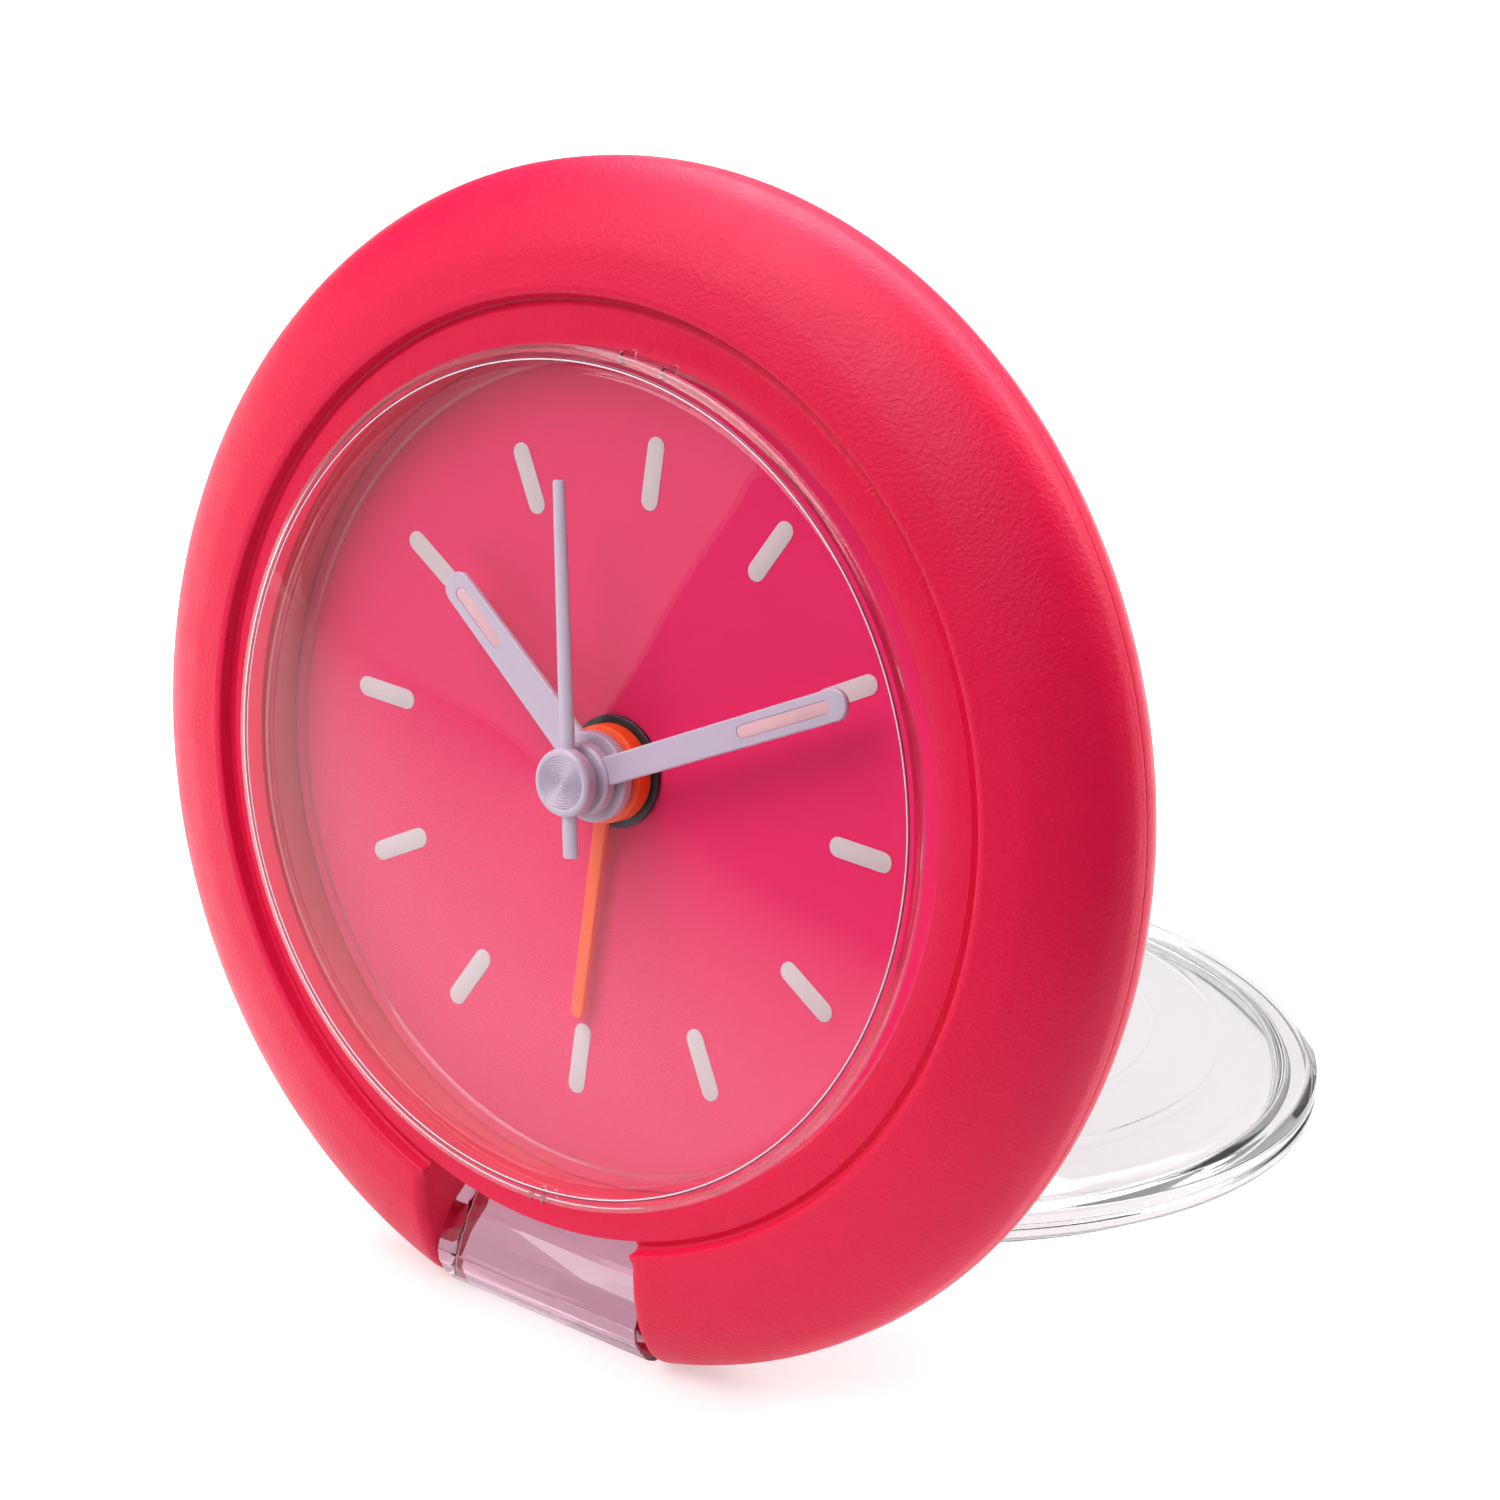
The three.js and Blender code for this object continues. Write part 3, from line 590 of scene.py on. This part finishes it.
def rear_case():
    shell = lathe(rounded([
        (0, DRUM_N),
        (21.6, DRUM_N, 0.9),
        (22.6, -16.4, 0.9),
        (24, -7, 0.8),
        (25.6, FLANGE_N, 0.8),
    ])[:-1] + [(25.9, FLANGE_N)] + REAR_EDGE[::-1] + rounded([
        REAR_EDGE[0],
        (RING_R, PARTING_N - SEAM, 0.04),
        (SHELL_FOOT[0], PARTING_N - SEAM),
    ])[1:] + [
        (37.4, -3.9),
        (36, -4.4),
        (22.5, -4.4),
        (21.1, -16.2),
        (20.3, DRUM_N + DRUM_WALL),
        (0, DRUM_N + DRUM_WALL),
    ])
    wide = NOTCH_HALF + CHEEK + 0.2
    tools = [
        block(-wide, wide, -45, -30.6, -8, 0),
        block(-12.2, 12.2, -30.9, BAY_Y, -8, 0),
        countersunk(DOOR_R, BATTERY, 1.9, 0.25, 96),
        countersunk(DOOR_R - 0.8, BATTERY, 3, 0, 96),
        countersunk(1.5, TIME_KNOB, 3),
        countersunk(1.5, ALARM_KNOB, 3),
        block(-4.2, 4.2, SWITCH_Y - 0.8, SWITCH_Y + 0.8, DRUM_N - 1, DRUM_N + 4),
    ]
    for place in SCREW_PLACES:
        tools.append(lathe([(0, -7), (2.2, -7), (2, -5.6), (2, -3.9), (0, -3.9)], 40, place))
    pitch = 2.2
    for column in range(-2, 3):
        for row in range(-2, 3):
            x, y = column * pitch, row * pitch
            if math.hypot(x, y) < 2.4 * pitch:
                tools.append(countersunk(0.55, (SOUNDER[0] + x * 0.9, SOUNDER[1] + y * 0.9), 3, 0.12, 20))
    walls = [block(-13.4, 13.4, BAY_Y, -25.3, FLANGE_N + 0.1, -1.6)]
    for place in SCREW_PLACES:
        walls.append(lathe([(1.15, -5.5), (2.6, -5.5), (2.6, -2.4), (1.15, -2.4)], 32, place, True))
    return together(boolean(shell, tools), *walls)


piece("back_case", rear_case(), LOOKS["case"], "case", ["rear_case"], crease=28)

for number, place in enumerate(SCREW_PLACES, 1):
    head = lathe(rounded([
        (0, -5.75),
        (1.2, -5.7),
        (1.8, -5.35, 0.12),
        (1.8, -4.7),
        (0.8, -4.6),
        (0.8, 0.4),
        (0, 0.4),
    ]), 40, place)
    x, y = place
    slots = [block(x - a, x + a, y - b, y + b, -6.5, -5) for a, b in ((1.05, 0.19), (0.19, 1.05))]
    screw = boolean(head, slots)
    piece(f"screw_{number}", screw, LOOKS["steel"], "case", [f"case_screw_{number}"])

# ---- crystal and dial -----------------------------------------------------------------------

CRYSTAL = rounded([
    *spline([(0, 5.75), (14, 5.4), (24, 4.7), (26.4, 4.35)], 6),
    (26.95, 4.1, 0.25),
    (26.95, -0.1),
    (27.95, -0.1),
    (27.95, FLOOR_N - 0.2),
    (28.8, FLOOR_N - 0.2),
    (28.7, 3.7),
    (28.35, 5.02, 0.12),
    (27.5, 5.3, 0.1),
    *spline([(27.4, 5.32), (24, 5.75), (14, 6.4), (0, 6.7)], 6),
], 4)
piece("crystal_dome", lathe(CRYSTAL), LOOKS["crystal"], "case", ["crystal"], crease=40)

# Clear rings at the crystal's front edge and foot, with its gate marks; their pink tint is painted refraction of
# the case.
rim_edge = rounded([(27.85, 5.15), (28.3, 5.02, 0.18), (28.4, 4.7), (28.05, 4.8)], 6)
rim_foot = [(26.98 + x, -0.1 + z) for x, z in circle(0.13, 12)]
# A thin whitish ring on the crystal's front, a painted highlight of light caught on its edge.
painted_highlight_ring = [(27.42 + x, 5.31 + z) for x, z in circle(0.045, 8)]
# A thin dark ring just outside it, painted shade beside the painted highlight.
rim_shade = [(27.53 + x, 5.27 + z) for x, z in circle(0.05, 8)]
gates = []
for angle, offset in ((-86.3, 0.5), (86, 1.7)):
    turn = Matrix.Rotation(math.radians(angle), 3, "Z")
    for y in (-offset, offset):
        mark = block(27.9, 28.55, y - 0.12, y + 0.12, 3.4, 4.9, 0.05)
        bmesh.ops.rotate(mark, matrix=turn, verts=mark.verts)
        gates.append(mark)
rim = together(lathe(rim_edge, ring=True), lathe(rim_foot, ring=True), *gates)
piece("crystal_rim", rim, LOOKS["rim"], "case", crease=40)
piece("crystal_painted_highlight", lathe(painted_highlight_ring, ring=True), LOOKS["painted_highlight"], "case")
piece("crystal_shade", lathe(rim_shade, ring=True), LOOKS["shade"], "case")

dial = lathe(rounded([
    (2.8, DIAL_N - 0.9),
    (DIAL_R, DIAL_N - 0.9),
    (DIAL_R, DIAL_N),
    (2.8, DIAL_N, 0.1),
]), ring=True)
piece("dial_plate", dial, LOOKS["dial"], "case", ["dial"])

MARKER_HALF = 0.675
markers = []
for hour in range(12):
    marker = prism(capsule(MARKER_HALF, 17.6, 22.5), DIAL_N - 0.05, DIAL_N + 0.05, 0.02, 2)
    bmesh.ops.rotate(marker, matrix=Matrix.Rotation(-hour * math.pi / 6, 3, "Z"), verts=marker.verts)
    markers.append(marker)
piece("dial_markers", together(*markers), LOOKS["marker"], "case")

washer = lathe(rounded([(2.7, -0.37), (3.75, -0.37), (3.75, -0.1, 0.08), (2.7, -0.1, 0.05)]), 128, ring=True)
piece("washer_ring", washer, LOOKS["black"], "case", ["dial_washer"])

# ---- hands ----------------------------------------------------------------------------------


def hand_place(name):
    return FACE @ Matrix.Rotation(-math.radians(HAND_ANGLES[name]), 4, "Z")


def hub(profile):
    return lathe(rounded(profile, 4), 128, ring=True)


def flat_hand(hub_profile, root_half, tip_half, tip, low, high, edge, inlay=None):
    """A bar from under a hub to a round tip, with a sunk bed for its inlay."""
    bar = prism(capsule(root_half, -root_half, tip, 12, tip_half), low, high, edge, 4)
    if inlay:
        bar = boolean(bar, [prism(capsule(*inlay, 12), high - 0.12, high + 1)])
    bore = prism(circle(hub_profile[0][0], 64), low - 3, high + 3)
    return together(boolean(bar, [bore]), hub(hub_profile))


MINUTE_INLAY = (0.45, 13.5, 21.2)  # half width, foot and tip
HOUR_INLAY = (0.45, 11.1, 16.1)
MINUTE_HIGH = 3.35
HOUR_HIGH = 1.95

minute = flat_hand(
    [(1.27, 2.7), (2.45, 2.7, 0.1), (2.45, 3.5, 0.12), (2.2, 3.62, 0.1), (1.27, 3.62)],
    0.93, 1.06, 22.5, MINUTE_HIGH - 0.5, MINUTE_HIGH, 0.16, MINUTE_INLAY,
)
piece("minute_bar", minute, LOOKS["hand"], "minutes", ["minute_hand"], hand_place("minute"))
hour = flat_hand(
    [(1.97, 1.6), (3.0, 1.6, 0.1), (3.0, 2.42, 0.15), (1.97, 2.42)],
    1.36, 1.15, 17.2, HOUR_HIGH - 0.5, HOUR_HIGH, 0.16, HOUR_INLAY,
)
piece("hour_bar", hour, LOOKS["hand"], "hours", ["hour_hand"], hand_place("hour"))


def inlay(half, start, end, high):
    return prism(capsule(half - 0.01, start + 0.01, end - 0.01, 12), high - 0.11, high - 0.03, 0.02, 2)


minute_paint = inlay(*MINUTE_INLAY, MINUTE_HIGH)
minute_at = hand_place("minute")
piece("minute_inlay", minute_paint, LOOKS["lume"], "minutes", ["minute_hand_lume"], minute_at)
hour_paint = inlay(*HOUR_INLAY, HOUR_HIGH)
hour_at = hand_place("hour")
piece("hour_inlay", hour_paint, LOOKS["lume"], "hours", ["hour_hand_lume"], hour_at)

alarm = flat_hand(
    [(2.57, 0.0), (3.25, 0.0, 0.05), (3.25, 1.2, 0.12), (3.0, 1.25, 0.05), (3.0, 1.45, 0.08), (2.57, 1.45)],
    0.56, 0.48, 17, 0.25, 0.65, 0.12,
)
piece("alarm_bar", alarm, LOOKS["orange"], "alarm", ["alarm_hand"], hand_place("alarm"))


SECOND_BORE = 0.57


def second_bar():
    """A tapered bar with a half-round top, from its blunt tail to its blunt tip."""
    arc = [math.pi * k / 12 for k in range(13)]
    bm = bmesh.new()
    rings = []
    for y, half in ((-5, 0.52), (-4.9, 0.58), (0, 0.6), (19.4, 0.46), (19.6, 0.4)):
        rise = 0.42 * half / 0.6
        section = [(half * math.cos(a), 4.5 + rise * math.sin(a)) for a in arc]
        section += [(-half * 0.9, 4.36), (half * 0.9, 4.36)]
        rings.append([bm.verts.new((x, y, z)) for x, z in section])
    for lower, upper in zip(rings, rings[1:]):
        bridge(bm, lower, upper)
    bm.faces.new(rings[0])
    bm.faces.new(rings[-1])
    bmesh.ops.recalc_face_normals(bm, faces=bm.faces)
    bar = boolean(bm, [prism(circle(SECOND_BORE, 32), 3, 6)])
    sleeve = hub([(SECOND_BORE, 3.85), (1.5, 3.85, 0.1), (1.5, 4.3), (SECOND_BORE, 4.3)])
    return together(bar, sleeve)


second_at = hand_place("second")
piece("second_bar", second_bar(), LOOKS["hand"], "seconds", ["second_hand"], second_at)
turned = []
for k in range(10):
    turned += [(1.78 - k * 0.17, 5.31), (1.78 - (k + 0.5) * 0.17, 5.23)]
cap = lathe(rounded([
    (0.55, 4.15),
    (1.9, 4.15, 0.1),
    (2.25, 4.4, 0.2),
    (2.25, 5.33, 0.32),
    (1.85, 5.33),
], 6) + turned + [(0, 5.28), (0, 4.9), (0.55, 4.9)], 128, ring=True)
piece("second_cap", cap, LOOKS["hand"], "seconds", ["second_hand_cap"], second_at)

# ---- back of the case -----------------------------------------------------------------------


def knob(place):
    """A finger knob with a finely fluted rim and a dished face."""
    flutes = 36
    outline = []
    for k in range(flutes * 4):
        angle = 2 * math.pi * k / (flutes * 4)
        radius = 4.05 + 0.14 * math.cos(flutes * angle)
        outline.append((place[0] + radius * math.cos(angle), place[1] + radius * math.sin(angle)))
    grip = prism(outline, DRUM_N - 3.2, DRUM_N - 0.4, 0.3, 3)
    dish = lathe([
        (0, DRUM_N - 4),
        (3.3, DRUM_N - 4),
        (3.0, DRUM_N - 2.95),
        (2.4, DRUM_N - 2.75),
        (0, DRUM_N - 2.7),
    ], 64, place)
    stem = lathe([(0, DRUM_N - 0.6), (1.2, DRUM_N - 0.6), (1.2, -15.3), (0, -15.3)], 32, place)
    return together(boolean(grip, [dish]), stem)


piece("time_grip", knob(TIME_KNOB), LOOKS["black"], "time_setting", ["time_knob"])
piece("alarm_grip", knob(ALARM_KNOB), LOOKS["black"], "alarm_setting", ["alarm_knob"])

door = lathe(rounded([
    (0, DRUM_N + 0.15),
    (DOOR_R - 0.15, DRUM_N + 0.15, 0.2),
    (DOOR_R - 0.15, DRUM_N + 1.7),
    (DOOR_R - 1.2, DRUM_N + 1.7),
    (DOOR_R - 1.2, DRUM_N + 2.1),
    (0, DRUM_N + 2.1),
]), 128, BATTERY)
coin_slot = [(x + BATTERY[0], y + BATTERY[1]) for y, x in capsule(0.6, -4.6, 4.6)]
door = boolean(door, [prism(coin_slot, DRUM_N - 1, DRUM_N + 0.9)])
piece("door_cover", door, LOOKS["case"], "battery_door", ["battery_door"])

SWITCH_X = -1.25
slider = [
    block(SWITCH_X - 1.8, SWITCH_X + 1.8, SWITCH_Y - 0.6, SWITCH_Y + 0.6, DRUM_N - 1.0, -15.8, 0.12),
    block(SWITCH_X - 2.6, SWITCH_X + 2.6, SWITCH_Y - 1.6, SWITCH_Y + 1.6, -16.4, -15.7, 0.1),
]
for offset in (-1.1, -0.55, 0, 0.55, 1.1):
    x = SWITCH_X + offset
    slider.append(block(x - 0.14, x + 0.14, SWITCH_Y - 0.55, SWITCH_Y + 0.55, DRUM_N - 1.3, -17, 0.08))
switch = together(*slider)
piece("switch_slider", switch, LOOKS["black"], "alarm_switch", ["alarm_switch"])

# ---- lid ------------------------------------------------------------------------------------

LID_R = 31.7
LID_PROFILE = rounded([
    *spline([(0, 7.3), (14, 6.95), (24, 6.3), (28.4, 5.75)], 6),
    (29.3, 5.2, 0.5),
    (29.3, 3.3, 0.15),
    (30.7, 3.3, 0.2),
    (30.7, 4.0, 0.1),
    (LID_R, 4.0, 0.15),
    (LID_R, 4.7, 0.15),
    (LID_R - 0.3, 4.95, 0.12),
    (LID_R, 5.2, 0.15),
    (LID_R, 5.9, 0.3),
    (LID_R - 0.9, 6.25, 0.3),
    *spline([(30.2, 6.33), (28, 6.75), (24.75, 7.33)], 4),
    (24.6, 7.33),
    (24.5, 7.38),
    *spline([(24.4, 7.4), (22, 7.66), (19.75, 7.86)], 4),
    (19.6, 7.85),
    (19.5, 7.9),
    *spline([(19.4, 7.9), (14, 8.2), (0, 8.6)], 6),
], 4)
ARM = [
    (-29.7, 4.2),
    (-29.7, 5, 0.2),
    (-31.3, 4.85, 0.3),
    (-33.4, 3.6, 2),
    (-35.4, 2.05, 1.5),
    (-36.7, 0.95, 1.2),
    (-37.6, -0.4, 1.2),
    (-38.03, -1.92),
    (-37.93, -2.0),
    (-38.03, -2.08),
    (-37.85, -2.95, 0.8),
    (-37.1, -4.05, 0.9),
    (-36.3, -4.85, 0.8),
    (-35.5, -5.2, 0.6),
    (-34.4, -5, 0.6),
    (-33.6, -4.4, 0.6),
    (-33.2, -3.2, 1),
    (-33.1, -1.2, 1.5),
    (-32.4, 0.6, 0.5),
    (-31, 1.3, 0.3),
    (-31, 4.2),
]


def flip_lid():
    half = NOTCH_HALF - 0.3
    arm = across(prism(rounded(ARM, 4), -half, half, 0.14, 3))
    return boolean(lathe(LID_PROFILE), [arm], "UNION")


lid = piece("flip_lid", flip_lid(), LOOKS["lid"], "lid", ["lid"], LID, crease=40)
# The hinge block below the lid's rim takes the arm look, with its painted shade.
lid.data.materials.append(LOOKS["arm"])
for face in lid.data.polygons:
    if face.center.y < -LID_R * MM:
        face.material_index = 1

# ---- movement, carried over from the CAD model ----------------------------------------------

SLOT_LOOKS = {
    "white_plastic": "white",
    "steel": "steel",
    "brass": "brass",
    "copper": "copper",
    "board_green": "board",
    "black_plastic": "black",
}
for entry in frame["record"]["subparts"]:
    node = frame["nodes"][entry["node"]]
    if entry["material_slot"] in SLOT_LOOKS:
        node.data.materials.clear()
        node.data.materials.append(LOOKS[SLOT_LOOKS[entry["material_slot"]]])

# ---- stage ----------------------------------------------------------------------------------


def stage_floor():
    """A white sheet under the clock. Its mirror image in the crystal fades out towards its front edge."""
    material, tree, shader = principled("pale_floor")
    shade = spread(tree, noise(tree, millimetres(tree), 60, 3), 0, 1)
    place = add(tree, "SeparateXYZ", Vector=millimetres(tree))
    slant = maths(tree, "MULTIPLY_ADD", place.outputs[0], -FLOOR_SLANT, place.outputs[1])
    fade = spread(tree, slant, 0, 1, FLOOR_DARK / MM, FLOOR_LIT / MM)
    lit = maths(tree, "MAXIMUM", fade, add(tree, "LightPath").outputs["Is Camera Ray"])
    white = tinted(tree, (FLOOR_WHITE,) * 3, 0.01, shade)
    dimmed = add(tree, "VectorMath", {"operation": "SCALE"}, Scale=lit)
    tree.links.new(white, dimmed.inputs[0])
    feed(tree, shader.inputs["Base Color"], dimmed.outputs[0])
    feed(tree, shader.inputs["Emission Strength"], maths(tree, "MULTIPLY", lit, FLOOR_GLOW))
    shader.inputs["Emission Color"].default_value = (1, 1, 1, 1)
    shader.inputs["Roughness"].default_value = 0.7
    shader.inputs["Specular IOR Level"].default_value = 0.2
    mesh = bpy.data.meshes.new("floor")
    left, right, back = -1.2, 1.8, 2.4
    corners = [(left, FLOOR_FRONT, 0), (right, FLOOR_FRONT, 0), (right, back, 0), (left, back, 0)]
    mesh.from_pydata(corners, [], [(0, 1, 2, 3)])
    mesh.materials.append(material)
    floor = bpy.data.objects.new("floor", mesh)
    bpy.context.scene.collection.objects.link(floor)
    floor.location.z = -FLOOR_GAP


def softbox(name, azimuth, elevation, distance, size, brightness, roll=0):
    """A softbox that faces the clock, at an azimuth to the left of its front as a viewer sees it."""
    light = bpy.data.lights.new(name, "AREA")
    light.shape = "RECTANGLE"
    light.size, light.size_y = size
    light.energy = brightness * math.pi * size[0] * size[1]
    made = bpy.data.objects.new(name, light)
    around, up = math.radians(azimuth), math.radians(elevation)
    towards = Vector((-math.sin(around) * math.cos(up), -math.cos(around) * math.cos(up), math.sin(up)))
    made.matrix_world = aimed(HEART + towards * distance, HEART, math.radians(roll))
    bpy.context.scene.collection.objects.link(made)


FLOOR_FRONT = -0.4
FLOOR_GAP = 0.00002
FLOOR_SLANT = 0.5  # leans the fade, so that the floor stays lit further forward on the left
FLOOR_DARK = -0.27
FLOOR_LIT = -0.085
FLOOR_WHITE = 0.54
FLOOR_GLOW = 0.5
HEART = Vector((0, -0.02, 0.04))  # middle of the clock, which the softboxes face

stage_floor()
softbox("key", 26, 56, 0.9, (0.75, 0.75), 4.85)
softbox("overhead", 172, 53, 1.0, (1.3, 0.65), 5.6)
softbox("ceiling", 115, 64, 1.0, (0.8, 0.7), 3.2)
softbox("rim", -140, 34, 1.0, (0.5, 0.7), 3.6)
softbox("left_panel", 57, 14, 0.55, (0.574, 0.62), 0.72, -18.5)
softbox("back_card", 180, 12, 1.3, (3, 1.2), 0.45)


def studio():
    """White walls to look at, which stay dark in the clock's reflections."""
    world = bpy.data.worlds.new("studio")
    world.use_nodes = True
    tree = world.node_tree
    background = tree.nodes["Background"]
    background.inputs["Color"].default_value = (1, 1, 1, 1)
    seen = add(tree, "LightPath").outputs["Is Camera Ray"]
    feed(tree, background.inputs["Strength"], maths(tree, "MULTIPLY_ADD", seen, WALL_WHITE, WALL_LIGHT))
    return world


WALL_WHITE = 0.95
WALL_LIGHT = 0.03
bpy.context.scene.world = studio()
bpy.context.scene.view_settings.view_transform = "Standard"
